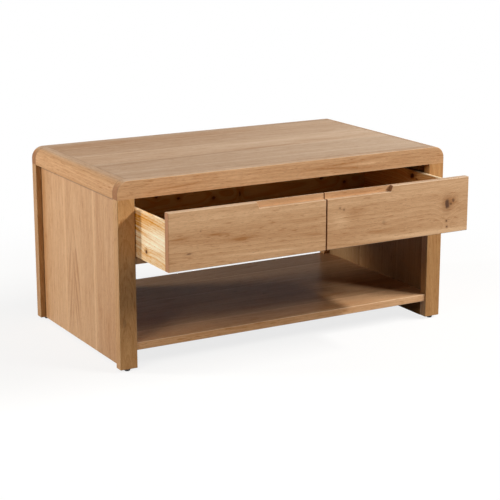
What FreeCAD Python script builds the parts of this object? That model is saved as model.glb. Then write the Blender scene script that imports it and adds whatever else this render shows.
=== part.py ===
import FreeCAD, Part
import os

V = FreeCAD.Vector

# A low oak table: two upright frames joined by end rails, a let-in top, recessed side panels, a shelf
# and one wide drawer with a two-part front. X runs along the table, Y from front to back, Z up. The origin
# is on the floor, in the middle of the footprint with the drawer pulled out as it rests. Millimetres.

# Table as a whole
table_width = 1000.0
table_depth = 561.0
table_height = 496.0

# Upright frames, front and back: two legs under a top rail with rounded ends
leg_width = 48.0
frame_thickness = 26.0
top_rail_height = 47.0
corner_radius = 32.0
arris_radius = 1.5
leg_tenon_width = 30.0
leg_tenon_thickness = 8.0
leg_tenon_length = 24.0

# Top: end rails between the frames, and a panel tongued into all four rails
end_rail_width = 36.0
end_tenon_width = 14.0
end_tenon_height = 18.0
end_tenon_length = 5.0
top_panel_thickness = 20.0
top_tongue_thickness = 7.0
top_tongue_length = 8.0

# Side panels, housed in the legs and the end rails
panel_recess = 15.0
side_panel_thickness = 15.0
panel_housing = 6.0

# Shelf, notched round the legs, and the two bearers that carry it
shelf_top = 73.0
shelf_thickness = 20.0
shelf_setback = 4.0
bearer_tenon_width = 8.0
bearer_tenon_height = 26.0
bearer_tenon_length = 10.0

# Drawer bay: rails under it, runners between the rails, kickers above the sides, back panel and stops
bay_height = 152.0
drawer_rail_thickness = 18.0
drawer_rail_depth = 60.0
drawer_rail_setback = 3.0
rail_tenon_depth = 12.0
rail_tenon_height = 8.0
rail_tenon_length = 12.0
runner_tongue_thickness = 6.0
runner_tongue_length = 8.0
runner_width = 34.0
guide_height = 40.0
centre_runner_width = 44.0
kicker_width = 15.0
kicker_gap = 6.0
back_panel_thickness = 9.0
back_panel_setback = 8.0
stop_width = 60.0
stop_depth = 24.0
stop_height = 8.0
stop_offset = 220.0

# Drawer
drawer_pull = 179.5
drawer_depth = 500.0
reveal = 2.5
front_thickness = 18.5
front_gap = 3.5
notch_length = 203.5
notch_slant = 6.5
notch_height = 15.0
notch_depth = 13.5
box_thickness = 12.0
side_height = 123.5
side_round = 3.0
housing_depth = 4.0
back_inset = 8.0
back_drop = 6.0
bottom_thickness = 6.0
bottom_rise = 10.0
bottom_groove = 6.0
muntin_width = 40.0
muntin_lip = 3.0

# Foot glides
glide_radius = 8.0
glide_height = 7.0
glide_bevel = 2.0
glide_stem_radius = 2.5
glide_stem_length = 15.0

# Clearances
joint_clearance = 0.2
stem_clearance = 0.3
run_clearance = 0.3
guide_clearance = 0.5
overrun = 5.0
same_plane = 0.01

# Middle of a quarter arc, as a share of its radius along either axis
diagonal_share = 0.5 ** 0.5

# Planes that several pieces share
half_width = table_width / 2
front_face = (drawer_pull - table_depth) / 2
rear_face = front_face + table_depth
middle_y = (front_face + rear_face) / 2
frame_back = front_face + frame_thickness
rear_frame_front = rear_face - frame_thickness
leg_inner = half_width - leg_width
leg_bottom = glide_height
leg_middle_x = half_width - leg_width / 2
leg_middle_y = front_face + frame_thickness / 2
rail_bottom = table_height - top_rail_height
end_rail_inner = half_width - end_rail_width
top_underside = table_height - top_panel_thickness
panel_outer = half_width - panel_recess
panel_inner = panel_outer - side_panel_thickness
shelf_underside = shelf_top - shelf_thickness
bay_bottom = rail_bottom - bay_height
drawer_rail_bottom = bay_bottom - drawer_rail_thickness
drawer_rail_front = front_face + drawer_rail_setback
drawer_rail_back = drawer_rail_front + drawer_rail_depth
drawer_rail_middle_z = (drawer_rail_bottom + bay_bottom) / 2
rear_drawer_rail_front = front_face + rear_face - drawer_rail_back

# Planes of the drawer as it stands at rest, pulled out
drawer_face = front_face - drawer_pull
front_back = drawer_face + front_thickness
inner_front_back = front_back + box_thickness
drawer_tail = drawer_face + drawer_depth
drawer_underside = bay_bottom + reveal
front_top = rail_bottom - reveal
side_outer = leg_inner - reveal
side_inner = side_outer - box_thickness
side_top = drawer_underside + side_height
back_rear = drawer_tail - back_inset
back_front = back_rear - box_thickness
bottom_underside = drawer_underside + bottom_rise
bottom_top = bottom_underside + bottom_thickness
runner_top = drawer_underside - run_clearance


def block(x0, x1, y0, y1, z0, z1):
    """Board between two planes along each axis."""
    return Part.makeBox(x1 - x0, y1 - y0, z1 - z0, V(x0, y0, z0))


def prism(points, along):
    """Flat outline pushed along a vector."""
    outline = Part.makePolygon(points + points[:1])
    return Part.Face(outline).extrude(along)


def mirror_x(shape):
    """The same piece on the other side of the table's middle."""
    return shape.mirror(V(0, 0, 0), V(1, 0, 0))


def mirror_y(shape):
    """The same piece at the other face of the table."""
    return shape.mirror(V(0, middle_y, 0), V(0, 1, 0))


def lies_on(edge, axis, place):
    """True for an edge whose whole length lies in the plane at a place on an axis."""
    ends = edge.BoundBox
    low = getattr(ends, axis + "Min")
    high = getattr(ends, axis + "Max")
    return abs(low - place) < same_plane and abs(high - place) < same_plane


def ease(shape, edges):
    """Take the sharpness off some edges."""
    return shape.makeFillet(arris_radius, edges)


def socket(tenon_limits, mouth):
    """Space for a tenon, with the joint clearance on every side; mouth is the index of the open limit."""
    limits = list(tenon_limits)
    for index in range(len(limits)):
        limits[index] += joint_clearance if index % 2 else -joint_clearance
    limits[mouth] += overrun if mouth % 2 else -overrun
    return block(*limits)


def rounded_section(inner_x):
    """Upright section from an inner plane to the table's end, with the rounded outer top corner."""
    bend_x = half_width - corner_radius
    bend_z = table_height - corner_radius
    reach = corner_radius * diagonal_share
    arc_middle = V(bend_x + reach, 0, bend_z + reach)
    arc_start = V(half_width, 0, bend_z)
    arc_end = V(bend_x, 0, table_height)
    foot_out = V(half_width, 0, rail_bottom)
    foot_in = V(inner_x, 0, rail_bottom)
    head_in = V(inner_x, 0, table_height)
    edges = [
        Part.makeLine(foot_in, foot_out),
        Part.makeLine(foot_out, arc_start),
        Part.Arc(arc_start, arc_middle, arc_end).toShape(),
        Part.makeLine(arc_end, head_in),
        Part.makeLine(head_in, foot_in),
    ]
    return Part.Face(Part.Wire(edges))


def leg_tenon_limits():
    """Tenon on top of the front right leg."""
    half_x = leg_tenon_width / 2
    half_y = leg_tenon_thickness / 2
    x_limits = (leg_middle_x - half_x, leg_middle_x + half_x)
    y_limits = (leg_middle_y - half_y, leg_middle_y + half_y)
    return x_limits + y_limits + (rail_bottom, rail_bottom + leg_tenon_length)


def end_tenon_limits():
    """Stub tenon on the front end of the right end rail, between the two grooves of that rail."""
    middle_x = (end_rail_inner + half_width) / 2
    tongue_underside = (top_underside + table_height - top_tongue_thickness) / 2
    middle_z = (rail_bottom + panel_housing + tongue_underside) / 2
    x_limits = (middle_x - end_tenon_width / 2, middle_x + end_tenon_width / 2)
    z_limits = (middle_z - end_tenon_height / 2, middle_z + end_tenon_height / 2)
    return x_limits + (frame_back - end_tenon_length, frame_back) + z_limits


def bearer_tenon_limits():
    """Tenon on the front end of the right shelf bearer."""
    middle_x = (leg_inner + panel_inner) / 2
    middle_z = (leg_bottom + shelf_underside) / 2
    x_limits = (middle_x - bearer_tenon_width / 2, middle_x + bearer_tenon_width / 2)
    z_limits = (middle_z - bearer_tenon_height / 2, middle_z + bearer_tenon_height / 2)
    return x_limits + (frame_back - bearer_tenon_length, frame_back) + z_limits


def rail_tenon_limits():
    """Tenon on the right end of the front drawer rail."""
    tenon_y = (drawer_rail_front + frame_back) / 2
    y_limits = (tenon_y - rail_tenon_depth / 2, tenon_y + rail_tenon_depth / 2)
    half_z = rail_tenon_height / 2
    z_limits = (drawer_rail_middle_z - half_z, drawer_rail_middle_z + half_z)
    return (leg_inner, leg_inner + rail_tenon_length) + y_limits + z_limits


def top_tongue(clearance):
    """Flat tongue round the whole top panel, or with a clearance the groove that takes it."""
    reach_x = end_rail_inner + top_tongue_length + clearance
    reach_y = top_tongue_length + clearance
    middle_z = (top_underside + table_height) / 2
    half_z = top_tongue_thickness / 2 + clearance
    y_limits = (frame_back - reach_y, rear_frame_front + reach_y)
    return block(-reach_x, reach_x, *y_limits, middle_z - half_z, middle_z + half_z)


def front_right_leg():
    """Leg with eased arrises, a tenon for the top rail, a groove for the side panel and three sockets."""
    body = block(leg_inner, half_width, front_face, frame_back, leg_bottom, rail_bottom)
    body = ease(body, [edge for edge in body.Edges if not lies_on(edge, "Z", rail_bottom)])
    body = body.fuse(block(*leg_tenon_limits()))
    groove_x = (panel_inner - joint_clearance, panel_outer + joint_clearance)
    groove_y = (frame_back - panel_housing - joint_clearance, frame_back + overrun)
    body = body.cut(block(*groove_x, *groove_y, leg_bottom - overrun, rail_bottom))
    body = body.cut(socket(bearer_tenon_limits(), 3))
    body = body.cut(socket(rail_tenon_limits(), 0))
    hole_radius = glide_stem_radius + stem_clearance
    hole_depth = glide_stem_length + stem_clearance
    hole = Part.makeCylinder(hole_radius, hole_depth, V(leg_middle_x, leg_middle_y, leg_bottom))
    return body.cut(hole).removeSplitter()


def front_top_rail():
    """Rail across the whole width with both outer top corners rounded and its front arris eased."""
    half = rounded_section(0)
    half.translate(V(0, front_face, 0))
    right = half.extrude(V(0, frame_thickness, 0))
    rail = right.fuse(mirror_x(right)).removeSplitter()
    outline = [edge for edge in rail.Edges if lies_on(edge, "Y", front_face)]
    rail = ease(rail, [edge for edge in outline if not lies_on(edge, "Z", rail_bottom)])
    rail = rail.cut(top_tongue(joint_clearance))
    for mortise in (socket(leg_tenon_limits(), 4), socket(end_tenon_limits(), 3)):
        rail = rail.cut(mortise).cut(mirror_x(mortise))
    return rail.removeSplitter()


def right_end_rail():
    """Rail with the same rounding, from frame to frame, grooved for the top panel and the side panel."""
    section = rounded_section(end_rail_inner)
    section.translate(V(0, frame_back, 0))
    rail = section.extrude(V(0, rear_frame_front - frame_back, 0))
    tenon = block(*end_tenon_limits())
    rail = rail.fuse(tenon).fuse(mirror_y(tenon))
    rail = rail.cut(top_tongue(joint_clearance))
    groove_x = (panel_inner - joint_clearance, panel_outer + joint_clearance)
    groove_z = (rail_bottom - overrun, rail_bottom + panel_housing + joint_clearance)
    return rail.cut(block(*groove_x, frame_back, rear_frame_front, *groove_z)).removeSplitter()


def top_panel():
    """Panel flush with the rails, with its tongue all round."""
    x_limits = (-end_rail_inner, end_rail_inner)
    body = block(*x_limits, frame_back, rear_frame_front, top_underside, table_height)
    return body.fuse(top_tongue(0)).removeSplitter()


def right_side_panel():
    """Upright panel whose edges are housed in both legs and the end rail."""
    low_y = frame_back - panel_housing
    high_y = rear_frame_front + panel_housing
    crown = rail_bottom + panel_housing
    outline = [
        (low_y, leg_bottom), (high_y, leg_bottom), (high_y, rail_bottom), (rear_frame_front, rail_bottom),
        (rear_frame_front, crown), (frame_back, crown), (frame_back, rail_bottom), (low_y, rail_bottom),
    ]
    return prism([V(panel_inner, y, z) for y, z in outline], V(side_panel_thickness, 0, 0))


def notched_board(y_front, y_rear, corner_rear, z_low, thickness):
    """Board between the side panels, its corners notched round the legs, front only or at both ends."""
    half = [(leg_inner, y_front), (leg_inner, frame_back), (panel_inner, frame_back)]
    if corner_rear:
        half += [(panel_inner, rear_frame_front), (leg_inner, rear_frame_front), (leg_inner, y_rear)]
    else:
        half += [(panel_inner, y_rear)]
    outline = half + [(-x, y) for x, y in reversed(half)]
    return prism([V(x, y, z_low) for x, y in outline], V(0, 0, thickness))


def shelf():
    """Shelf set in a little from the faces of the legs, with its long arrises eased."""
    y_front = front_face + shelf_setback
    y_rear = rear_face - shelf_setback
    board = notched_board(y_front, y_rear, True, shelf_underside, shelf_thickness)
    long_edges = [edge for edge in board.Edges if lies_on(edge, "Y", y_front) or lies_on(edge, "Y", y_rear)]
    return ease(board, [edge for edge in long_edges if edge.BoundBox.XLength > leg_width])


def right_shelf_bearer():
    """Bearer under the shelf, tenoned into both legs and flush with their inner faces."""
    bearer = block(leg_inner, panel_inner, frame_back, rear_frame_front, leg_bottom, shelf_underside)
    tenon = block(*bearer_tenon_limits())
    return bearer.fuse(tenon).fuse(mirror_y(tenon)).removeSplitter()


def front_drawer_rail():
    """Flat rail under the drawer, notched round the legs, tenoned into them and grooved for the runners."""
    y_limits = (drawer_rail_front, drawer_rail_back)
    rail = notched_board(*y_limits, False, drawer_rail_bottom, drawer_rail_thickness)
    front_edges = [edge for edge in rail.Edges if lies_on(edge, "Y", drawer_rail_front)]
    rail = ease(rail, [edge for edge in front_edges if edge.BoundBox.XLength > leg_width])
    tenon = block(*rail_tenon_limits())
    rail = rail.fuse(tenon).fuse(mirror_x(tenon))
    half_z = runner_tongue_thickness / 2 + joint_clearance
    groove_y = (drawer_rail_back - runner_tongue_length - joint_clearance, drawer_rail_back + overrun)
    groove_z = (drawer_rail_middle_z - half_z, drawer_rail_middle_z + half_z)
    reach = panel_inner + overrun
    return rail.cut(block(-reach, reach, *groove_y, *groove_z)).removeSplitter()


def tongued_runner(x0, x1):
    """Runner from rail to rail with a tongue at each end."""
    body = block(x0, x1, drawer_rail_back, rear_drawer_rail_front, drawer_rail_bottom, runner_top)
    half_z = runner_tongue_thickness / 2
    y_limits = (drawer_rail_back - runner_tongue_length, rear_drawer_rail_front + runner_tongue_length)
    tongue = block(x0, x1, *y_limits, drawer_rail_middle_z - half_z, drawer_rail_middle_z + half_z)
    return body.fuse(tongue)


def right_runner():
    """Ledge under the drawer side with an upright guide beside it."""
    ledge = tongued_runner(panel_inner - runner_width, panel_inner)
    guide_x = (side_outer + guide_clearance, panel_inner)
    guide_z = (runner_top, runner_top + guide_height)
    guide = block(*guide_x, drawer_rail_back, rear_drawer_rail_front, *guide_z)
    return ledge.fuse(guide).removeSplitter()


def centre_runner():
    """Runner under the muntin in the middle of the drawer."""
    return tongued_runner(-centre_runner_width / 2, centre_runner_width / 2).removeSplitter()


def right_kicker():
    """Batten under the top that keeps the drawer side from tipping up."""
    x_limits = (leg_inner - kicker_width, leg_inner)
    return block(*x_limits, frame_back, rear_frame_front, side_top + kicker_gap, top_underside)


def back_panel():
    """Panel behind the drawer, between the rear legs, from the rear drawer rail up to the top rail."""
    y_rear = rear_face - back_panel_setback
    return block(-leg_inner, leg_inner, y_rear - back_panel_thickness, y_rear, bay_bottom, rail_bottom)


def right_drawer_stop():
    """Block on the front drawer rail that meets the inner front when the drawer is shut."""
    shut_back = inner_front_back + drawer_pull
    x_limits = (stop_offset - stop_width / 2, stop_offset + stop_width / 2)
    y_front = shut_back + run_clearance
    return block(*x_limits, y_front, y_front + stop_depth, bay_bottom, bay_bottom + stop_height)


def front_right_glide():
    """Round glide with a bevelled rim and a stem in the leg, turned from one half section."""
    stem_top = glide_height + glide_stem_length
    half_section = [
        V(0, 0, 0), V(glide_radius - glide_bevel, 0, 0), V(glide_radius, 0, glide_bevel),
        V(glide_radius, 0, glide_height), V(glide_stem_radius, 0, glide_height),
        V(glide_stem_radius, 0, stem_top), V(0, 0, stem_top),
    ]
    outline = Part.makePolygon(half_section + half_section[:1])
    glide = Part.Face(outline).revolve(V(0, 0, 0), V(0, 0, 1), 360)
    glide.translate(V(leg_middle_x, leg_middle_y, 0))
    return glide


def drawer_front_right():
    """Front board with half of the finger notch cut from its inner top corner, front arrises eased."""
    inner_end = front_gap / 2
    board = block(inner_end, side_outer, drawer_face, front_back, drawer_underside, front_top)
    floor_z = front_top - notch_height
    notch = [
        (inner_end - overrun, floor_z), (notch_length - notch_slant, floor_z), (notch_length, front_top),
        (notch_length, front_top + overrun), (inner_end - overrun, front_top + overrun),
    ]
    reach = V(0, notch_depth + overrun, 0)
    board = board.cut(prism([V(x, drawer_face - overrun, z) for x, z in notch], reach))
    return ease(board, [edge for edge in board.Edges if lies_on(edge, "Y", drawer_face)])


def bottom_groove_cut(y_front):
    """Space of the grooves that take the bottom panels, from a plane backwards, over the whole width."""
    reach = side_inner + bottom_groove
    z_limits = (bottom_underside - joint_clearance, bottom_top + joint_clearance)
    return block(-reach, reach, y_front, drawer_tail + overrun, *z_limits)


def drawer_inner_front():
    """Board behind both fronts that ties them together, let into the sides and grooved for the bottom."""
    reach = side_inner + housing_depth
    board = block(-reach, reach, front_back, inner_front_back, drawer_underside, side_top)
    return board.cut(bottom_groove_cut(inner_front_back - bottom_groove)).removeSplitter()


def drawer_side_right():
    """Side with a rounded top edge, a groove for the bottom, and housings for the inner front and back."""
    side = block(side_inner, side_outer, front_back, drawer_tail, drawer_underside, side_top)
    top_edges = [edge for edge in side.Edges if lies_on(edge, "Z", side_top)]
    long_edges = [edge for edge in top_edges if edge.BoundBox.YLength > box_thickness]
    side = side.makeFillet(side_round, long_edges)
    housing_x = (side_inner - overrun, side_inner + housing_depth + joint_clearance)
    z_limits = (drawer_underside - overrun, side_top + overrun)
    front_y = (front_back - overrun, inner_front_back + joint_clearance)
    back_y = (back_front - joint_clearance, back_rear + joint_clearance)
    for y_limits in (front_y, back_y):
        side = side.cut(block(*housing_x, *y_limits, *z_limits))
    return side.cut(bottom_groove_cut(front_back - overrun)).removeSplitter()


def drawer_back():
    """Back let into the sides, standing on the bottom panels and notched over the muntin."""
    reach = side_inner + housing_depth
    board = block(-reach, reach, back_front, back_rear, bottom_top, side_top - back_drop)
    half = muntin_width / 2 + joint_clearance
    y_limits = (back_front - overrun, back_rear + overrun)
    z_limits = (bottom_top - overrun, bottom_top + muntin_lip + joint_clearance)
    return board.cut(block(-half, half, *y_limits, *z_limits)).removeSplitter()


def drawer_muntin():
    """Bar under the middle of the drawer, tongued into the inner front, with a groove down each side."""
    half = muntin_width / 2
    bar = block(-half, half, inner_front_back, back_rear, drawer_underside, bottom_top + muntin_lip)
    web = half - bottom_groove
    tongue_y = (inner_front_back - bottom_groove + joint_clearance, inner_front_back)
    bar = bar.fuse(block(-web, web, *tongue_y, bottom_underside, bottom_top))
    z_limits = (bottom_underside - joint_clearance, bottom_top + joint_clearance)
    y_limits = (inner_front_back - overrun, back_rear + overrun)
    groove = block(web, half + overrun, *y_limits, *z_limits)
    return bar.cut(groove).cut(mirror_x(groove)).removeSplitter()


def drawer_bottom_right():
    """Thin panel held in the grooves of the side, the inner front and the muntin."""
    tongue = bottom_groove - joint_clearance
    x_limits = (muntin_width / 2 - tongue, side_inner + tongue)
    y_limits = (inner_front_back - tongue, back_rear)
    return block(*x_limits, *y_limits, bottom_underside, bottom_top)


def pair(nodes, right_name, left_name, right_shape):
    """Store a piece and its twin on the other side."""
    nodes[right_name] = right_shape
    nodes[left_name] = mirror_x(right_shape)


def build():
    """All pieces by name."""
    nodes = {}
    leg = front_right_leg()
    pair(nodes, "front_right_leg", "front_left_leg", leg)
    pair(nodes, "rear_right_leg", "rear_left_leg", mirror_y(leg))
    glide = front_right_glide()
    pair(nodes, "front_right_glide", "front_left_glide", glide)
    pair(nodes, "rear_right_glide", "rear_left_glide", mirror_y(glide))
    nodes["front_top_rail"] = front_top_rail()
    nodes["rear_top_rail"] = mirror_y(nodes["front_top_rail"])
    pair(nodes, "right_end_rail", "left_end_rail", right_end_rail())
    nodes["top_panel"] = top_panel()
    pair(nodes, "right_side_panel", "left_side_panel", right_side_panel())
    nodes["shelf"] = shelf()
    pair(nodes, "right_shelf_bearer", "left_shelf_bearer", right_shelf_bearer())
    nodes["front_drawer_rail"] = front_drawer_rail()
    nodes["rear_drawer_rail"] = mirror_y(nodes["front_drawer_rail"])
    pair(nodes, "right_runner", "left_runner", right_runner())
    nodes["centre_runner"] = centre_runner()
    pair(nodes, "right_kicker", "left_kicker", right_kicker())
    nodes["back_panel"] = back_panel()
    pair(nodes, "right_drawer_stop", "left_drawer_stop", right_drawer_stop())
    pair(nodes, "drawer_front_right", "drawer_front_left", drawer_front_right())
    nodes["drawer_inner_front"] = drawer_inner_front()
    pair(nodes, "drawer_side_right", "drawer_side_left", drawer_side_right())
    nodes["drawer_back"] = drawer_back()
    nodes["drawer_muntin"] = drawer_muntin()
    pair(nodes, "drawer_bottom_right", "drawer_bottom_left", drawer_bottom_right())
    return nodes


os.makedirs("parts", exist_ok=True)
for name, shape in build().items():
    shape.exportStep("parts/" + name + ".step")
    print(name, len(shape.Solids), round(shape.Volume))
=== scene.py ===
"""Looks of an oak coffee table with one wide pine drawer: timber finishes, plastic glides and a studio."""

import math

import bpy
import numpy as np
from bpy.props import FloatProperty, FloatVectorProperty, PointerProperty
from bpy.types import Operator, Panel, PropertyGroup
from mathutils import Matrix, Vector


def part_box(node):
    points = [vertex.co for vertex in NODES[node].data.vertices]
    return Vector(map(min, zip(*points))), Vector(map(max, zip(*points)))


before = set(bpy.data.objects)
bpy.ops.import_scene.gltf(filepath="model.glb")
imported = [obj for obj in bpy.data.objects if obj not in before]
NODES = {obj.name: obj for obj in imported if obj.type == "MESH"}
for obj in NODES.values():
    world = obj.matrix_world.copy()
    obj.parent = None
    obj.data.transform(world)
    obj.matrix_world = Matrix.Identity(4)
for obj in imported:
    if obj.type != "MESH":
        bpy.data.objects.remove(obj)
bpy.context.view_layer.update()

bl_info = {
    "name": "Oak coffee table",
    "version": (1, 0, 0),
    "blender": (4, 5, 0),
    "location": "View3D > Sidebar > Coffee table",
    "description": "Timber and plastic finishes and a studio for an oak coffee table with a drawer",
    "category": "Object",
}

# Tints, by which the colours of a timber are multiplied.
PLAIN = (1.0, 1.0, 1.0)
HONEY = (0.87, 0.80, 0.60)
# Shelf: a paler tint of the whole shelf, a painted highlight on its lit edges, and a darker tint of its top
# face, painted shade under the drawer.
LIT_PALE = (1.25, 1.28, 1.35)
SHADE_DUSK = (0.69, 0.665, 0.635)
# Greyer tint of the top and of the rails' up-facing faces: partly the top's own tone and partly painted
# sheen.
SHEEN_GREY = (0.77, 0.885, 1.10)
# Darker tint of the right side panel's inner face: painted shade inside the table.
SHADED = (0.62, 0.57, 0.48)
WARM = (1.0, 0.975, 0.95)
AMBER = (0.80, 0.71, 0.50)
# Dark tint of the shelf bearers: painted shade under the shelf.
BEARER_SHADE = (0.45, 0.36, 0.18)
# Greyer tint of the drawer fronts' up-facing faces: painted sheen, like the top's.
COOL = (0.82, 0.90, 1.0)
# Darker orange tint of the right drawer side's inner face: painted shade inside the drawer.
TAWNY_SHADE = (0.78, 0.54, 0.32)
GOLDEN = (1.0, 0.985, 0.93)
# Darker tint of the pine inside the drawer and the carcass: painted shade.
INNER_SHADE = (0.60, 0.54, 0.40)
# Near-black tint of the kickers: painted shade above the drawer sides.
DEEP_SHADE = (0.22, 0.17, 0.12)

# Sides that a face can look toward.
UP = (0.0, 0.0, 1.0)
LEFT = (-1.0, 0.0, 0.0)

# Lengths in metres. Nothing is as long as THROUGH, so a patch of that reach runs right through a board.
THROUGH = 10.0
SEAM_WIDTH = 0.0026
OVERHUNG = 0.0085
GLUE_LINE = 0.0012
WAVER_DEPTH = 0.005
GRAIN_RELIEF = 0.0004
SCUFF_RELIEF = 0.0002
FLOOR_REACH = 30.0

# Noise along, across and through a board, in waves for each metre.
SLOW_BEND = (0.9, 9.0, 9.0)
QUICK_BEND = (9.0, 75.0, 75.0)
DRIFT = (1.3, 5.5, 5.5)
BANDS = (3.2, 48.0, 48.0)
STREAKS = (14.0, 150.0, 150.0)
FIBRES = (22.0, 480.0, 480.0)
DASHES = (34.0, 300.0, 300.0)
PORES = (95.0, 1500.0, 1500.0)
WAVER = (7.0, 30.0, 0.0)
SCUFFS = (900.0, 900.0, 260.0)

# Numbers that set the noise of boards, staves and knots apart.
STAVE_SEED = 7.31
RING_SEED = 3.7
FIBRE_SEED = 2.3
STAVE_SPREAD = 5.0
KNOT_SPREAD = 31.0

# Shape of the growth rings, the staves and the knots.
QUICK_SHARE = 0.25
UNEVEN_YEARS = 1.6
UNEVEN_PACE = 0.45
ERA_PACE = 0.16
SWAY_SHARE = 0.7
RAGGED = 0.9
SWELL_FALL = -0.09

# Low and high ends of smooth steps.
NOISE_STEP = (0.3, 0.7)
DASH_STEP = (0.60, 0.74)
PORE_STEP = (0.58, 0.72)
SCUFF_STEP = (0.5, 0.8)
SAPWOOD_STEP = (0.88, 0.97)
RING_END_STEP = (0.9, 1.0)
LATE_WOOD = 0.88
CORE_STEP = (0.45, 1.05)
RIM_STEP = (0.7, 2.6)
END_STEP = (0.5, 0.95)
TURNED_STEP = (0.80, 1.0)

# How much each part of the grain counts in the mix of light and dark wood, and the mix without any.
RING_WEIGHTS = {"Year": 0.35, "Era": 0.45, "Drift": 0.70}
FIBRE_WEIGHTS = {"Band": 0.16, "Streak": 0.28, "Fibre": 0.28, "Dash": 0.62}
SAPWOOD_WEIGHT = -0.40
MIDDLE_TONE = 0.53
LIGHTEST, DARKEST = -0.5, 1.25

# How strongly the other marks show.
END_GRAIN = 0.85
GLUE_SHADE = -0.10
# Darker line at the seams: a dark joint on the top and the end rails, and painted shade on the side panels.
SEAM_SHADE = -0.50
# Pale arrises: a painted highlight, partly rubbed wear.
ARRIS_SHINE = 0.45
RIM_SHADE = 0.5
RIM_TONE = 0.35
LATE_PORES = -0.7
END_STREAKS = 0.5

# Roughness and relief that the marks add.
STREAK_ROUGHNESS = 0.12
PORE_ROUGHNESS = 0.2
SCUFF_ROUGHNESS = 0.25
PORE_RELIEF = -0.6
GLUE_RELIEF = -0.8
GRAIN_BUMP = 0.25
SCUFF_BUMP = 0.15

# Studio. Each lamp has a place, a point that it looks at, a width, a height and a tone.
WHITE = (1.0, 1.0, 1.0)
FLOOR_ROUGHNESS = 0.9
SENSOR_WIDTH = 36.0
NEUTRAL = (1.0, 0.985, 0.96)
CREAM = (1.0, 0.97, 0.90)
MIDDLE = (0.0, 0.09, 0.25)
LAMPS = {
    "side": ((-2.6, 1.1, 0.9), MIDDLE, 0.4, 0.6, NEUTRAL),
    "front": ((2.80, -3.41, 2.89), MIDDLE, 1.0, 1.0, NEUTRAL),
    "right": ((6.0, -2.9, 5.2), (0.0, -2.9, 0.25), 3.8, 0.5, NEUTRAL),
    "fill": ((-3.0, -1.7, 2.1), MIDDLE, 1.6, 1.6, CREAM),
    "back": ((1.0, 3.3, 0.035), MIDDLE, 1.8, 0.05, NEUTRAL),
}


def srgb(red, green, blue):
    """Linear colour of an 8-bit display colour, by the display's own transfer curve."""
    shares = np.array([red, green, blue]) / 255.0
    linear = np.where(shares <= 0.04045, shares / 12.92, ((shares + 0.055) / 1.055) ** 2.4)
    return tuple(float(value) for value in linear)


def colour(name, description, default):
    """Colour property with its default given as a display colour."""
    return FloatVectorProperty(name=name, description=description, subtype="COLOR", size=3, min=0, max=1,
                               default=srgb(*default))


def length(name, description, default):
    """Length property in metres."""
    return FloatProperty(name=name, description=description, default=default, min=0, unit="LENGTH",
                         precision=4)


def power(name, description, default):
    """Lamp power in watts."""
    return FloatProperty(name=name, description=description, default=default, min=0, unit="POWER")


def angle(name, description, degrees):
    """Angle property with its default given in degrees."""
    return FloatProperty(name=name, description=description, default=math.radians(degrees), subtype="ANGLE")


def share(name, description, default):
    """Factor, mostly from nothing to all."""
    return FloatProperty(name=name, description=description, default=default, min=0, max=4, subtype="FACTOR")


class OakFinish(PropertyGroup):
    """Oiled oak of the frame, the panels and the drawer fronts."""
    light: colour("Light wood", "Wood between the growth lines", (213, 170, 128))
    dark: colour("Dark wood", "Wood along the growth lines", (177, 127, 82))
    pore: colour("Pores", "Open pores along the grain", (112, 74, 40))
    end: colour("End grain", "Cut ends of the boards", (168, 112, 70))
    knot: colour("Knots", "Middle of a knot", (88, 54, 28))
    # Pale colour of the arrises: a painted highlight on the rounded edges, partly rubbed wear.
    arris: colour("Arrises", "Rubbed long edges", (208, 188, 160))
    ring_width: length("Ring width", "Spacing of the growth rings", 0.0036)
    early: share("Early wood", "Share of a ring before the late wood sets in", 0.15)
    ring_strength: share("Ring strength", "How strongly the rings show", 0.28)
    wander: length("Wander", "How far the grain wanders across a board", 0.010)
    contrast: share("Contrast", "Difference between growth lines", 0.85)
    stave_change: share("Stave change", "Difference in tone between glued staves", 0.20)
    pore_amount: share("Pore amount", "How much the pores darken the wood", 0.5)
    roughness: share("Roughness", "Roughness of the oiled surface", 0.46)
    gloss: share("Gloss", "Strength of the reflections", 0.35)


class PineFinish(PropertyGroup):
    """Bare knotty pine of the drawer box and the inner woodwork."""
    light: colour("Light wood", "Early wood", (250, 228, 192))
    dark: colour("Dark wood", "Orange late wood", (221, 156, 70))
    pore: colour("Resin", "Resin streaks along the grain", (196, 132, 62))
    end: colour("End grain", "Cut ends of the boards", (206, 158, 98))
    knot: colour("Knots", "Middle of a knot", (92, 52, 24))
    # Pale colour of the arrises: a painted highlight on the rounded edges, partly rubbed wear.
    arris: colour("Arrises", "Rubbed long edges", (250, 226, 184))
    early: share("Early wood", "Share of a ring before the late wood sets in", 0.42)
    ring_strength: share("Ring strength", "How strongly the rings show", 0.95)
    ring_width: length("Ring width", "Spacing of the growth rings", 0.0065)
    wander: length("Wander", "How far the grain wanders across a board", 0.008)
    contrast: share("Contrast", "Difference between growth lines", 0.95)
    stave_change: share("Stave change", "Difference in tone between glued staves", 0.10)
    pore_amount: share("Resin amount", "How much the resin streaks show", 0.25)
    roughness: share("Roughness", "Roughness of the bare surface", 0.6)
    gloss: share("Gloss", "Strength of the reflections", 0.08)


class GlideFinish(PropertyGroup):
    """Black plastic of the foot glides."""
    body: colour("Plastic", "Colour of the glides", (24, 23, 23))
    worn: colour("Scuffs", "Paler scuffed plastic", (58, 56, 54))
    roughness: share("Roughness", "Roughness of the moulded plastic", 0.5)


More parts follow.
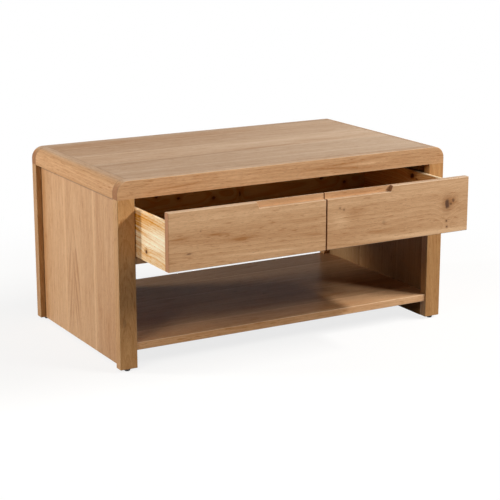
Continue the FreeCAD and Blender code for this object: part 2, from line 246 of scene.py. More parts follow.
class StudioSettings(PropertyGroup):
    """Floor, light and camera."""
    floor: colour("Floor", "Pale studio floor", (250, 249, 247))
    bounce: colour("Bounce", "Floor as the light that it throws back sees it", (78, 68, 56))
    shadow: share("Shadow", "How much of the floor's own shading the camera sees", 0.2)
    shadow_reach: length("Shadow reach", "Distance from the middle at which the floor is plain white", 1.6)
    ambient: FloatProperty(name="Ambient", description="Light from all round", default=0.02, min=0)
    side_power: power("Side light", "Lamp on the left", 43.0)
    front_power: power("Front light", "Soft box in front on the right", 100.0)
    right_power: power("Right light", "Long soft box far on the right", 680.0)
    fill_power: power("Fill light", "Soft box high on the left", 48.0)
    back_power: power("Back light", "Strip light on the floor behind", 45.0)
    distance: length("Camera distance", "From the aim to the camera", 4.2276)
    aim: FloatVectorProperty(name="Aim", description="Point that the camera looks at", subtype="TRANSLATION",
                             size=3, default=(0.0290, 0.0732, 0.1986))
    azimuth: angle("Azimuth", "Camera's turn to the left of the front", 29.747)
    elevation: angle("Elevation", "Camera's height above the horizon", 14.297)
    lens: FloatProperty(name="Lens", description="Focal length in millimetres, on a sensor 36 mm wide",
                        default=107.63, min=1)


class CoffeeTableLooks(PropertyGroup):
    """All settings of the coffee table's looks."""
    oak: PointerProperty(type=OakFinish)
    pine: PointerProperty(type=PineFinish)
    glide: PointerProperty(type=GlideFinish)
    studio: PointerProperty(type=StudioSettings)


class Graph:
    """Short spellings for one node tree: a method adds a node and gives its output socket."""

    def __init__(self, tree):
        self.tree = tree

    def feed(self, socket, value):
        """Link a socket to a socket, or set its plain value."""
        if isinstance(value, bpy.types.NodeSocket):
            self.tree.links.new(value, socket)
        else:
            socket.default_value = value

    def node(self, kind, options=None, **inputs):
        """New node with its options and inputs; an underscore in an input's name stands for a space."""
        made = self.tree.nodes.new(kind)
        for name, value in (options or {}).items():
            setattr(made, name, value)
        for name, value in inputs.items():
            self.feed(made.inputs[name.replace("_", " ")], value)
        return made

    def math(self, operation, *values):
        """One step of arithmetic."""
        made = self.node("ShaderNodeMath", {"operation": operation})
        for socket, value in zip(made.inputs, values):
            self.feed(socket, value)
        return made.outputs["Value"]

    def vector(self, operation, *values):
        """One step of vector arithmetic."""
        made = self.node("ShaderNodeVectorMath", {"operation": operation})
        for socket, value in zip(made.inputs, values):
            self.feed(socket, value)
        return made.outputs["Value" if operation in ("LENGTH", "DOT_PRODUCT") else "Vector"]

    def split(self, vector):
        """The three parts of a vector."""
        return self.node("ShaderNodeSeparateXYZ", Vector=vector).outputs[:3]

    def join(self, x, y, z):
        """Vector from three parts."""
        return self.node("ShaderNodeCombineXYZ", X=x, Y=y, Z=z).outputs["Vector"]

    def noise(self, vector, detail=2.0, roughness=0.5):
        """Smooth noise at unit scale."""
        return self.node("ShaderNodeTexNoise", Vector=vector, Scale=1.0, Detail=detail, Roughness=roughness)

    def ease(self, value, low, high):
        """Nothing below low, all above high and a smooth step between."""
        made = self.node("ShaderNodeMapRange", {"interpolation_type": "SMOOTHSTEP"}, Value=value)
        self.feed(made.inputs["From Min"], low)
        self.feed(made.inputs["From Max"], high)
        return made.outputs["Result"]

    def mix(self, factor, first, second, clamped=True):
        """Mix of two colours, which goes past them where it isn't clamped."""
        made = self.node("ShaderNodeMix", {"data_type": "RGBA", "clamp_factor": clamped}, Factor=factor)
        sockets = {socket.identifier: socket for socket in made.inputs}
        self.feed(sockets["A_Color"], first)
        self.feed(sockets["B_Color"], second)
        return next(socket for socket in made.outputs if socket.identifier == "Result_Color")

    def scaled(self, vector, factor):
        """Vector or colour times a factor."""
        made = self.node("ShaderNodeVectorMath", {"operation": "SCALE"}, Scale=factor)
        self.feed(made.inputs[0], vector)
        return made.outputs["Vector"]

    def group(self, kind, build, **inputs):
        """Outputs of a node group, which is built on first use."""
        tree = bpy.data.node_groups.get(kind) or build(kind)
        made = self.node("ShaderNodeGroup", {"node_tree": tree})
        for label, value in inputs.items():
            self.feed(made.inputs[label], value)
        return made.outputs


def opaque(rgb):
    """Colour with full alpha, as shader sockets take it."""
    return (*rgb, 1.0)


def tinted(rgb, tint):
    """Colour times a tint, with full alpha."""
    return opaque(np.multiply(rgb, tint))


def new_group(name, inputs, outputs):
    """Empty shader node group with named sockets; gives its graph, its inputs and its outputs."""
    tree = bpy.data.node_groups.new(name, "ShaderNodeTree")
    kinds = {"value": "NodeSocketFloat", "vector": "NodeSocketVector", "colour": "NodeSocketColor"}
    for label, kind in inputs:
        tree.interface.new_socket(label, in_out="INPUT", socket_type=kinds[kind])
    for label, kind in outputs:
        tree.interface.new_socket(label, in_out="OUTPUT", socket_type=kinds[kind])
    graph = Graph(tree)
    return graph, graph.node("NodeGroupInput").outputs, graph.node("NodeGroupOutput").inputs


def build_staves(name):
    """Boards glued edge to edge: place in a stave, its own random number, its glue line and its pale edge."""
    graph, given, result = new_group(
        name,
        [("Vector", "vector"), ("Width", "value"), ("Origin", "value"), ("Sway", "value"), ("Seed", "value")],
        [("Vector", "vector"), ("Random", "value"), ("Joint", "value"), ("Sapwood", "value")])
    along, across, through = graph.split(given["Vector"])
    steps = graph.math("DIVIDE", graph.math("SUBTRACT", across, given["Origin"]), given["Width"])
    number = graph.math("FLOOR", steps)
    inside = graph.math("SUBTRACT", steps, number)
    key = graph.math("MULTIPLY_ADD", given["Seed"], STAVE_SEED, number)
    dice = graph.node("ShaderNodeTexWhiteNoise", {"noise_dimensions": "1D"}, W=key)
    _, second, third = graph.split(dice.outputs["Color"])
    local = graph.math("MULTIPLY", graph.math("SUBTRACT", inside, 0.5), given["Width"])
    sway = graph.math("MULTIPLY", graph.math("SUBTRACT", second, 0.5), given["Sway"])
    deeper = graph.math("MULTIPLY", graph.math("SUBTRACT", third, 0.5), given["Sway"])
    moved = graph.join(along, graph.math("ADD", local, sway), graph.math("ADD", through, deeper))
    nearest = graph.math("MINIMUM", inside, graph.math("SUBTRACT", 1.0, inside))
    gap = graph.math("MULTIPLY", nearest, given["Width"])
    graph.feed(result["Vector"], moved)
    graph.feed(result["Random"], dice.outputs["Value"])
    graph.feed(result["Joint"], graph.math("SUBTRACT", 1.0, graph.ease(gap, 0.0, GLUE_LINE)))
    graph.feed(result["Sapwood"], graph.ease(inside, *SAPWOOD_STEP))
    return graph.tree


def build_rings(name):
    """Growth rings round a leaning pith: distance from the pith, bent by noise, counted in years and eras."""
    graph, given, result = new_group(
        name,
        [("Vector", "vector"), ("Pith", "value"), ("Slope", "value"), ("Width", "value"),
         ("Wander", "value"), ("Early", "value"), ("Swell", "value"), ("Seed", "value")],
        [("Ring", "value"), ("Year", "value"), ("Era", "value"), ("Drift", "value"), ("Vector", "vector")])
    shift = graph.math("MULTIPLY", given["Seed"], RING_SEED)
    place = graph.vector("ADD", given["Vector"], graph.join(shift, shift, shift))
    slow = graph.noise(graph.vector("MULTIPLY", place, SLOW_BEND)).outputs["Color"]
    quick = graph.noise(graph.vector("MULTIPLY", place, QUICK_BEND)).outputs["Color"]
    bend = graph.vector("ADD", slow, graph.scaled(quick, QUICK_SHARE))
    mean = 0.5 * (1.0 + QUICK_SHARE)
    bend_y, bend_z, _ = graph.split(graph.vector("SUBTRACT", bend, (mean, mean, mean)))
    along, across, through = graph.split(given["Vector"])
    side = graph.math("MULTIPLY_ADD", bend_y, given["Wander"], across)
    deep = graph.math("MULTIPLY_ADD", along, given["Slope"], graph.math("ADD", through, given["Pith"]))
    deep = graph.math("MULTIPLY_ADD", bend_z, given["Wander"], deep)
    radius = graph.vector("LENGTH", graph.join(side, deep, 0.0))
    radius = graph.math("ADD", radius, given["Swell"])
    years = graph.math("DIVIDE", radius, given["Width"])
    uneven = graph.node("ShaderNodeTexNoise", {"noise_dimensions": "1D"}, W=years, Scale=UNEVEN_PACE,
                        Detail=1.0)
    years = graph.math("MULTIPLY_ADD", uneven.outputs["Fac"], UNEVEN_YEARS, years)
    year = graph.math("FLOOR", years)
    age = graph.math("SUBTRACT", years, year)
    rise = graph.ease(age, given["Early"], LATE_WOOD)
    fall = graph.ease(age, *RING_END_STEP)
    dice = graph.node("ShaderNodeTexWhiteNoise", {"noise_dimensions": "1D"}, W=year)
    era = graph.node("ShaderNodeTexNoise", {"noise_dimensions": "1D"}, W=years, Scale=ERA_PACE, Detail=1.0)
    drift = graph.noise(graph.vector("MULTIPLY", place, DRIFT))
    graph.feed(result["Ring"], graph.math("SUBTRACT", rise, fall))
    graph.feed(result["Year"], dice.outputs["Value"])
    graph.feed(result["Era"], era.outputs["Fac"])
    graph.feed(result["Drift"], drift.outputs["Fac"])
    graph.feed(result["Vector"], graph.join(along, side, deep))
    return graph.tree


def build_fibres(name):
    """Fibres and open pores: noise drawn out along the grain at three scales, and short dark dashes."""
    graph, given, result = new_group(
        name,
        [("Vector", "vector"), ("Seed", "value")],
        [("Band", "value"), ("Streak", "value"), ("Fibre", "value"), ("Dash", "value"), ("Pore", "value")])
    shift = graph.math("MULTIPLY", given["Seed"], FIBRE_SEED)
    place = graph.vector("ADD", given["Vector"], graph.join(shift, shift, shift))
    wide = graph.noise(graph.vector("MULTIPLY", place, BANDS), roughness=0.6)
    broad = graph.noise(graph.vector("MULTIPLY", place, STREAKS), detail=3.0, roughness=0.65)
    fine = graph.noise(graph.vector("MULTIPLY", place, FIBRES), roughness=0.6)
    sparse = graph.noise(graph.vector("MULTIPLY", place, DASHES), detail=1.0)
    tiny = graph.noise(graph.vector("MULTIPLY", place, PORES), detail=1.0)
    graph.feed(result["Band"], graph.ease(wide.outputs["Fac"], *NOISE_STEP))
    graph.feed(result["Streak"], graph.ease(broad.outputs["Fac"], *NOISE_STEP))
    graph.feed(result["Fibre"], graph.ease(fine.outputs["Fac"], *NOISE_STEP))
    graph.feed(result["Dash"], graph.ease(sparse.outputs["Fac"], *DASH_STEP))
    graph.feed(result["Pore"], graph.ease(tiny.outputs["Fac"], *PORE_STEP))
    return graph.tree


def build_patch(name):
    """Darker or paler patch: a bell over a middle and a size, leaning across the grain by a slope."""
    graph, given, result = new_group(
        name,
        [("Vector", "vector"), ("Middle", "vector"), ("Size", "vector"), ("Slope", "value"),
         ("Strength", "value"), ("Sum", "value")],
        [("Sum", "value")])
    from_middle = graph.vector("SUBTRACT", given["Vector"], given["Middle"])
    along, across, _ = graph.split(from_middle)
    waver = graph.noise(graph.vector("MULTIPLY", given["Vector"], WAVER)).outputs["Fac"]
    waver = graph.math("MULTIPLY_ADD", waver, WAVER_DEPTH, -WAVER_DEPTH / 2)
    lean = graph.math("MULTIPLY_ADD", along, given["Slope"], waver)
    straight = graph.join(along, graph.math("SUBTRACT", across, lean), 0.0)
    far = graph.vector("LENGTH", graph.vector("DIVIDE", straight, given["Size"]))
    bell = graph.math("EXPONENT", graph.math("MULTIPLY", graph.math("MULTIPLY", far, far), -1.0))
    graph.feed(result["Sum"], graph.math("MULTIPLY_ADD", bell, given["Strength"], given["Sum"]))
    return graph.tree


def build_knot(name):
    """One knot: dark core and ring by distance from its middle, and the swelling of the grain round it."""
    graph, given, result = new_group(
        name,
        [("Vector", "vector"), ("Middle", "vector"), ("Size", "vector"), ("Strength", "value"),
         ("Core", "value"), ("Rim", "value"), ("Swell", "value")],
        [("Core", "value"), ("Rim", "value"), ("Swell", "value")])
    away = graph.vector("DIVIDE", graph.vector("SUBTRACT", given["Vector"], given["Middle"]), given["Size"])
    ragged = graph.noise(graph.vector("ADD", away, graph.scaled(given["Middle"], KNOT_SPREAD)))
    ragged_by = graph.math("MULTIPLY_ADD", ragged.outputs["Fac"], RAGGED, -RAGGED / 2)
    far = graph.math("ADD", graph.vector("LENGTH", away), ragged_by)
    core = graph.math("SUBTRACT", 1.0, graph.ease(far, *CORE_STEP))
    core = graph.math("MULTIPLY", core, given["Strength"])
    rim = graph.math("SUBTRACT", 1.0, graph.ease(far, *RIM_STEP))
    rim = graph.math("MULTIPLY", rim, given["Strength"])
    square = graph.math("MULTIPLY", far, far)
    bulge = graph.math("EXPONENT", graph.math("MULTIPLY", square, SWELL_FALL))
    _, wide, _ = graph.split(given["Size"])
    graph.feed(result["Core"], graph.math("MAXIMUM", core, given["Core"]))
    graph.feed(result["Rim"], graph.math("MAXIMUM", rim, given["Rim"]))
    lift = graph.math("MULTIPLY", bulge, given["Strength"])
    graph.feed(result["Swell"], graph.math("MULTIPLY_ADD", lift, wide, given["Swell"]))
    return graph.tree


TIMBER_VALUES = (
    "Seed", "Stave Width", "Stave Origin", "Stave Change", "Sway", "Pith", "Slope", "Ring Width", "Wander",
    "Early", "Ring Strength", "Contrast", "Pore Amount", "Roughness", "End Facing", "Arris", "Seam",
    "Knot Core", "Knot Rim", "Swell", "Figure")
TIMBER_COLOURS = ("Light", "Dark", "Pore Colour", "End Colour", "Knot Colour", "Arris Colour")


def build_timber(name):
    """Solid timber: staves, rings, fibres, patches, end grain and knots mixed to colour and relief."""
    graph, given, result = new_group(
        name,
        [("Vector", "vector")] + [(label, "value") for label in TIMBER_VALUES]
        + [(label, "colour") for label in TIMBER_COLOURS],
        [("Colour", "colour"), ("Roughness", "value"), ("Height", "value")])

    stave = graph.group("Staves", build_staves, Vector=given["Vector"], Width=given["Stave Width"],
                        Origin=given["Stave Origin"], Sway=given["Sway"], Seed=given["Seed"])
    own_seed = graph.math("MULTIPLY_ADD", stave["Random"], STAVE_SPREAD, given["Seed"])
    ring = graph.group("Growth rings", build_rings, Vector=stave["Vector"], Pith=given["Pith"],
                       Slope=given["Slope"], Width=given["Ring Width"], Wander=given["Wander"],
                       Early=given["Early"], Swell=given["Swell"], Seed=own_seed)
    fibre = graph.group("Fibres", build_fibres, Vector=ring["Vector"], Seed=own_seed)

    def centred(value, weight):
        """Value from nothing to one, brought round zero and weighted."""
        return graph.math("MULTIPLY", graph.math("SUBTRACT", value, 0.5), weight)

    grain = [(ring["Ring"], given["Ring Strength"])]
    grain += [(ring[label], weight) for label, weight in RING_WEIGHTS.items()]
    grain += [(fibre[label], weight) for label, weight in FIBRE_WEIGHTS.items()]
    grain += [(stave["Sapwood"], SAPWOOD_WEIGHT)]
    wood = given["Figure"]
    for value, weight in grain:
        wood = graph.math("ADD", wood, centred(value, weight))
    amount = graph.math("MULTIPLY_ADD", wood, given["Contrast"], MIDDLE_TONE)
    amount = graph.node("ShaderNodeClamp", Value=amount, Min=LIGHTEST, Max=DARKEST).outputs["Result"]
    paint = graph.mix(amount, given["Light"], given["Dark"], clamped=False)
    pores = graph.math("MULTIPLY", fibre["Pore"], given["Pore Amount"])
    pores = graph.math("MULTIPLY", pores, graph.math("MULTIPLY_ADD", ring["Ring"], LATE_PORES, 1.0))
    paint = graph.mix(pores, paint, given["Pore Colour"])
    ends = graph.mix(centred(fibre["Fibre"], END_STREAKS), given["End Colour"], given["Pore Colour"])
    paint = graph.mix(graph.math("MULTIPLY", given["End Facing"], END_GRAIN), paint, ends)
    tone = graph.math("ADD", centred(stave["Random"], given["Stave Change"]), 1.0)
    tone = graph.math("MULTIPLY_ADD", stave["Joint"], GLUE_SHADE, tone)
    # Darker line at the seams: a dark joint, and on the side panels painted shade.
    tone = graph.math("MULTIPLY_ADD", given["Seam"], SEAM_SHADE, tone)
    paint = graph.scaled(paint, tone)
    # Pale arrises: a painted highlight along the rounded edges, partly rubbed wear.
    paint = graph.mix(graph.math("MULTIPLY", given["Arris"], ARRIS_SHINE), paint, given["Arris Colour"])
    rim = graph.math("MULTIPLY", given["Knot Rim"], RIM_SHADE)
    paint = graph.mix(rim, paint, graph.mix(RIM_TONE, given["Dark"], given["Knot Colour"]))
    paint = graph.mix(given["Knot Core"], paint, given["Knot Colour"])

    rough = graph.math("ADD", given["Roughness"], centred(fibre["Streak"], STREAK_ROUGHNESS))
    rough = graph.math("MULTIPLY_ADD", pores, PORE_ROUGHNESS, rough)
    height = graph.math("MULTIPLY_ADD", fibre["Pore"], PORE_RELIEF, fibre["Fibre"])
    height = graph.math("MULTIPLY_ADD", stave["Joint"], GLUE_RELIEF, height)
    graph.feed(result["Colour"], paint)
    graph.feed(result["Roughness"], rough)
    graph.feed(result["Height"], height)
    return graph.tree


def new_material(name):
    """Empty material with its graph and its Principled shader."""
    material = bpy.data.materials.new(name)
    material.use_nodes = True
    graph = Graph(material.node_tree)
    shader = material.node_tree.nodes["Principled BSDF"]
    return material, graph, shader


def timber(name, finish, axes, seed, stave=None, heart=0.0, pith=0.08, slope=0.03, knots=(), figures=(),
           tint=PLAIN, calm=1.0, rings=1.0, gloss=None, rough=None, seam=None, worn=1.0, ends=1.0,
           faded=None, toward=UP):
    """Board of solid timber. Axes name what runs along, across and through it; sizes are in metres.

    The heart is the pith's place across a single board, or the place of one glue line of a board glued from
    staves. The pith is how far behind the frame's origin it lies, and the slope how it leans along the board.
    Knots are places along and across the board, reaches along and across, and strengths. Patches are the same
    with a slope before the strength, and a negative strength makes them pale; most are patterns of the grain,
    and some are painted light and shade. Calm, rings, worn and ends strengthen or weaken the whole grain, its
    rings, the pale arrises, which are a painted highlight and partly rubbed wear, and the end grain. Seams
    and shade give the low and the high end of the board's bare face along and across, where it meets its
    neighbours: a darker line there, a dark joint, and on the side panels painted shade under the end rail and
    beside the legs. Sheen and shade is a tint of the faces that look toward one side: painted sheen on the
    up-facing faces of the rails and the drawer fronts, and painted shade on the shelf's top face and on faces
    inside the table.
    """
    material, graph, shader = new_material(name)
    place = graph.node("ShaderNodeTexCoord")
    parts = dict(zip("XYZ", graph.split(place.outputs["Object"])))
    spot = graph.join(*(parts[axis] for axis in axes))
    facing = dict(zip("XYZ", graph.split(graph.vector("ABSOLUTE", place.outputs["Normal"]))))
    end = graph.ease(facing[axes[0]], *END_STEP)
    # Where the painted highlight of the arrises goes, partly rubbed wear.
    # The product of the two is a half on a slant of 45 degrees, and nothing on a flat face.
    arris = graph.math("MULTIPLY", graph.math("MULTIPLY", facing[axes[1]], facing[axes[2]]), 2.0 * worn)
    core, rim, swell, figure, edge = 0.0, 0.0, 0.0, 0.0, 0.0
    for along, across, reach_along, reach_across, strength in knots:
        knot = graph.group("Knot", build_knot, Vector=spot, Middle=(along, across, 0.0),
                           Size=(reach_along, reach_across, THROUGH), Strength=strength, Core=core, Rim=rim,
                           Swell=swell)
        core, rim, swell = (knot[label] for label in ("Core", "Rim", "Swell"))
    # Patches: patterns of the grain, and on some boards painted light and shade.
    for along, across, reach_along, reach_across, lean, strength in figures:
        figure = graph.group("Figure", build_patch, Vector=spot, Middle=(along, across, 0.0),
                             Size=(reach_along, reach_across, THROUGH), Slope=lean, Strength=strength,
                             Sum=figure)["Sum"]
    if seam:
        nearest = THROUGH
        for axis, low, high in zip(axes, *seam):
            nearest = graph.math("MINIMUM", nearest, graph.math("SUBTRACT", parts[axis], low))
            nearest = graph.math("MINIMUM", nearest, graph.math("SUBTRACT", high, parts[axis]))
        edge = graph.math("SUBTRACT", 1.0, graph.ease(nearest, 0.0, SEAM_WIDTH))
    values = {
        "Vector": spot, "Seed": seed, "Stave Width": stave or THROUGH,
        "Stave Origin": heart if stave else heart - THROUGH / 2, "Stave Change": finish.stave_change,
        "Sway": SWAY_SHARE * stave if stave else 0.0, "Pith": pith, "Slope": slope,
        "Ring Width": finish.ring_width, "Wander": finish.wander, "Early": finish.early,
        "Ring Strength": rings * finish.ring_strength, "Contrast": finish.contrast * calm,
        "Pore Amount": finish.pore_amount, "Roughness": rough or finish.roughness, "End Facing": end,
        "Arris": arris, "Seam": edge, "Knot Core": core, "Knot Rim": rim, "Swell": swell, "Figure": figure,
        "Light": tinted(finish.light, tint), "Dark": tinted(finish.dark, tint),
        "Pore Colour": tinted(finish.pore, tint), "End Colour": tinted(finish.end, np.multiply(tint, ends)),
        "Knot Colour": opaque(finish.knot), "Arris Colour": tinted(finish.arris, tint),
    }
    wood = graph.group("Timber", build_timber, **values)
    relief = graph.node("ShaderNodeBump", Strength=GRAIN_BUMP, Distance=GRAIN_RELIEF, Height=wood["Height"])
    paint = wood["Colour"]
    # Tint of the faces that look toward one side: painted sheen on some boards and painted shade on others.
    if faded:
        turned = graph.ease(graph.vector("DOT_PRODUCT", place.outputs["Normal"], toward), *TURNED_STEP)
        paint = graph.mix(turned, paint, graph.vector("MULTIPLY", paint, faded))
    graph.feed(shader.inputs["Base Color"], paint)
    graph.feed(shader.inputs["Roughness"], wood["Roughness"])
    graph.feed(shader.inputs["Normal"], relief.outputs["Normal"])
    shader.inputs["Specular IOR Level"].default_value = finish.gloss if gloss is None else gloss
    return material


def dress(node, material):
    """Give a CAD node one material."""
    mesh = NODES[node].data
    mesh.materials.clear()
    mesh.materials.append(material)


def board(node, *wood, **looks):
    """Finish a CAD node as one board of timber; what follows the node is what timber takes."""
    dress(node, timber(node, *wood, **looks))


def settings():
    """The settings of this scene."""
    return bpy.context.scene.coffee_table


class COFFEE_OT_frame(Operator):
    """Finish the legs, the rails and the shelf bearers in oak"""
    bl_idname = "coffee_table.frame"
    bl_label = "Legs and rails"

    def execute(self, context):
        oak = settings().oak
        legs = ("front_left_leg", "front_right_leg", "rear_left_leg", "rear_right_leg")
        for seed, node in enumerate(legs):
            low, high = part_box(node)
            heart, pith, slope, tint, knots = low.x, 0.03 - low.y, 0.05, AMBER, ()
            if node == "front_left_leg":
                heart, pith, slope, tint = 0.6 * low.x + 0.4 * high.x, 0.004 - low.y, 0.12, HONEY
                knots = ((0.130, -0.486, 0.013, 0.006, 0.35), (0.255, -0.462, 0.010, 0.004, 0.20))
            board(node, oak, "ZXY", 11.0 + seed, heart=heart, pith=pith, slope=slope, tint=tint, knots=knots)

        rail_figures = (
            (0.170, 0.478, 0.100, 0.004, 0.05, 0.6), (0.170, 0.466, 0.100, 0.004, -0.05, 0.6),
            (0.250, 0.473, 0.050, 0.006, 0.0, -0.6), (-0.330, 0.468, 0.080, 0.003, 0.06, 0.7),
            (-0.180, 0.474, 0.120, 0.005, -0.03, -0.4),
        )
        # The rails' up-facing faces are tinted greyer, partly painted sheen.
        for seed, node in enumerate(("front_top_rail", "rear_top_rail")):
            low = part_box(node)[0]
            board(node, oak, "XZY", 21.0 + seed, heart=low.z - 0.02, pith=0.03 - low.y, slope=0.02,
                  figures=rail_figures, worn=0.5, ends=0.75, gloss=0.18, rough=0.6, faded=SHEEN_GREY)

        front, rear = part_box("front_top_rail")[1].y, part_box("rear_top_rail")[0].y
        # A darker band along the right end rail's rounded top edge: painted shade.
        round_shade = (0.0, 0.480, THROUGH, 0.012, 0.0, 0.5)
        end_figures = {"left_end_rail": (), "right_end_rail": (round_shade,)}
        # The end rails' up-facing faces are tinted greyer, partly painted sheen.
        for seed, (node, figures) in enumerate(end_figures.items()):
            low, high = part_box(node)
            board(node, oak, "YZX", 31.0 + seed, heart=low.z - 0.03, pith=0.02 - high.x, slope=0.02,
                  worn=0.0, seam=((front, -THROUGH), (rear, THROUGH)), tint=WARM, gloss=0.13, rough=0.6,
                  figures=figures, faded=SHEEN_GREY)

        for seed, node in enumerate(("front_drawer_rail", "rear_drawer_rail")):
            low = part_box(node)[0]
            board(node, oak, "XYZ", 41.0 + seed, heart=low.y, pith=0.03 - low.z, slope=0.02)
        # The shelf bearers are tinted dark, as painted shade under the shelf.
        for seed, node in enumerate(("left_shelf_bearer", "right_shelf_bearer")):
            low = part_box(node)[0]
            board(node, oak, "YZX", 46.0 + seed, heart=low.z, pith=0.03 - low.x, slope=0.02,
                  tint=BEARER_SHADE, gloss=0.02)
        return {"FINISHED"}


class COFFEE_OT_panels(Operator):
    """Finish the top, the side panels and the shelf in glued oak staves"""
    bl_idname = "coffee_table.panels"
    bl_label = "Top, sides and shelf"

    def execute(self, context):
        oak = settings().oak
        left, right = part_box("left_end_rail")[1].x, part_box("right_end_rail")[0].x
        front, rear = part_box("front_top_rail")[1].y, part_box("rear_top_rail")[0].y
        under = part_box("left_end_rail")[0].z
        # Grain lines of the top, a darker band toward the rear, and a paler right end, which is painted
        # light.
        top_figures = (
            (-0.100, 0.031, 0.450, 0.006, 0.06, 0.9), (0.050, 0.049, 0.090, 0.005, 0.0, 1.0),
            (0.250, 0.077, 0.080, 0.012, 0.0, 0.6), (0.150, 0.122, 0.300, 0.018, 0.0, -0.45),
            (0.550, 0.100, 0.500, THROUGH, 0.0, -0.8), (0.000, 0.300, THROUGH, 0.120, 0.0, 0.65),
        )
        # The top's greyer tint is partly its own tone and partly painted sheen.
        board("top_panel", oak, "XYZ", 51.0, stave=0.125, heart=0.037, pith=-0.42, slope=0.02,
              figures=top_figures, seam=((left, front), (right, rear)), calm=0.8, tint=SHEEN_GREY, gloss=0.15,
              rough=0.6)

        # Painted light on the shelf: two paler pools on the right, where light reaches in under the drawer;
        # painted shade: a darker strip along the front on the left; then two grain streaks.
        shelf_figures = (
            (0.370, 0.080, 0.150, 0.130, 0.0, -0.8), (0.400, -0.150, 0.180, 0.060, 0.0, -0.5),
            (-0.200, -0.165, 0.450, 0.040, 0.0, 0.5), (-0.100, 0.020, 0.300, 0.020, 0.03, -0.3),
            (0.050, -0.060, 0.300, 0.010, -0.02, 0.4),
        )
        # The shelf's edges are painted paler, as if lit, and its top face darker, as painted shade under the
        # drawer.
        board("shelf", oak, "XYZ", 55.0, stave=0.12, heart=0.02, pith=0.01, slope=0.02, calm=0.9, gloss=0.004,
              rough=0.24, tint=LIT_PALE, faded=SHADE_DUSK, figures=shelf_figures)

        # Darker lines on the side panels: painted shade under the overhanging end rail and beside the legs in
        # the recess.
        panel_seam = ((-THROUGH, front), (under - OVERHUNG, rear))
        # Grain of the left side panel; the last patch, a darker strip along the rear edge by the rear leg, is
        # painted shade.
        side_figures = (
            (0.250, -0.008, THROUGH, 0.008, 0.0, -0.6), (0.000, -0.090, 0.20, 0.070, 0.0, 0.35),
            (0.250, -0.030, THROUGH, 0.010, 0.0, 0.4), (0.250, 0.164, THROUGH, 0.010, 0.0, 0.4),
            (0.250, 0.184, THROUGH, 0.010, 0.0, -0.4), (0.300, 0.270, 0.30, 0.050, 0.0, -0.15),
            (0.128, 0.1485, 0.09, 0.0055, -0.178, 1.0), (0.128, 0.1135, 0.09, 0.0055, 0.178, 1.0),
            (0.070, 0.1435, 0.06, 0.0050, -0.150, 0.8), (0.070, 0.1185, 0.06, 0.0050, 0.150, 0.8),
            (0.200, 0.1570, 0.12, 0.0055, -0.190, 0.7), (0.200, 0.1050, 0.12, 0.0055, 0.190, 0.7),
            (0.250, 0.345, THROUGH, 0.025, 0.0, 0.45),
        )
        board("left_side_panel", oak, "ZYX", 61.0, stave=0.19, heart=-0.017, pith=0.53, slope=0.035,
              seam=panel_seam, tint=GOLDEN, gloss=0.3, calm=0.92, figures=side_figures)

        # Painted light and shade on the right side panel: a paler rear part, where light falls in through the
        # open back, a darker patch before it, and a paler patch at the front.
        inner_figures = (
            (0.100, 0.280, 0.120, 0.080, 0.0, -1.2), (0.090, 0.080, 0.060, 0.060, 0.0, 0.7),
            (0.160, -0.080, 0.080, 0.080, 0.0, -0.4),
        )
        # Its inner face is tinted darker, as painted shade inside the table.
        board("right_side_panel", oak, "ZYX", 64.0, stave=0.19, heart=-0.017, pith=-0.43, slope=0.035,
              seam=panel_seam, tint=GOLDEN, gloss=0.1, figures=inner_figures, faded=SHADED, toward=LEFT)
        return {"FINISHED"}


class COFFEE_OT_drawer_fronts(Operator):
    """Finish the two drawer fronts in oak, each with its knots and figures"""
    bl_idname = "coffee_table.drawer_fronts"
    bl_label = "Drawer fronts"

    def execute(self, context):
        oak = settings().oak
        left_knots = ((-0.394, 0.340, 0.009, 0.0025, 0.6), (-0.362, 0.393, 0.002, 0.002, 0.5))
        # Grain of the left front; the last patch darkens the wall of the finger notch, as painted shade in
        # the recess.
        left_figures = (
            (-0.190, 0.3175, 0.120, 0.0022, -0.034, -1.1), (-0.200, 0.425, THROUGH, 0.020, 0.0, -0.55),
            (-0.250, 0.365, 0.220, 0.016, -0.04, 0.35), (-0.322, 0.380, 0.030, 0.004, 0.0, 0.8),
            (-0.250, 0.361, 0.035, 0.004, 0.0, 0.9), (-0.418, 0.379, 0.030, 0.004, 0.05, 0.8),
            (-0.030, 0.345, 0.040, 0.005, 0.0, 0.7), (-0.100, 0.4370, 0.11, 0.0090, 0.0, 0.7),
        )
        # The front's up-facing faces are tinted greyer, a painted sheen.
        board("drawer_front_left", oak, "XZY", 71.0, heart=0.29, pith=0.42, slope=0.02, knots=left_knots,
              figures=left_figures, faded=COOL)

        right_knots = (
            (0.380, 0.378, 0.009, 0.015, 1.0), (0.392, 0.378, 0.005, 0.004, 0.7),
            (0.400, 0.387, 0.005, 0.006, 0.7), (0.379, 0.333, 0.003, 0.003, 1.0),
            (0.381, 0.317, 0.003, 0.003, 1.0), (0.040, 0.405, 0.003, 0.0035, 0.5),
            (0.052, 0.400, 0.003, 0.0035, 0.55), (0.176, 0.352, 0.006, 0.006, 0.22),
        )
        # Grain of the right front; the patch at the notch's height darkens its wall, as painted shade in the
        # recess.
        right_figures = (
            (0.350, 0.3065, 0.200, 0.006, -0.02, -1.3), (0.045, 0.372, 0.028, 0.018, 0.0, -0.8),
            (0.391, 0.384, 0.022, 0.018, 0.0, 0.9), (0.200, 0.330, 0.200, 0.008, -0.03, 0.3),
            (0.300, 0.425, THROUGH, 0.020, 0.0, -0.5), (0.100, 0.4370, 0.11, 0.0090, 0.0, 0.7),
            (0.080, 0.386, 0.030, 0.018, 0.0, 0.5),
        )
        # The front's up-facing faces are tinted greyer, a painted sheen.
        board("drawer_front_right", oak, "XZY", 72.0, heart=0.33, pith=0.42, slope=-0.02, knots=right_knots,
              figures=right_figures, ends=0.55, faded=COOL)
        return {"FINISHED"}


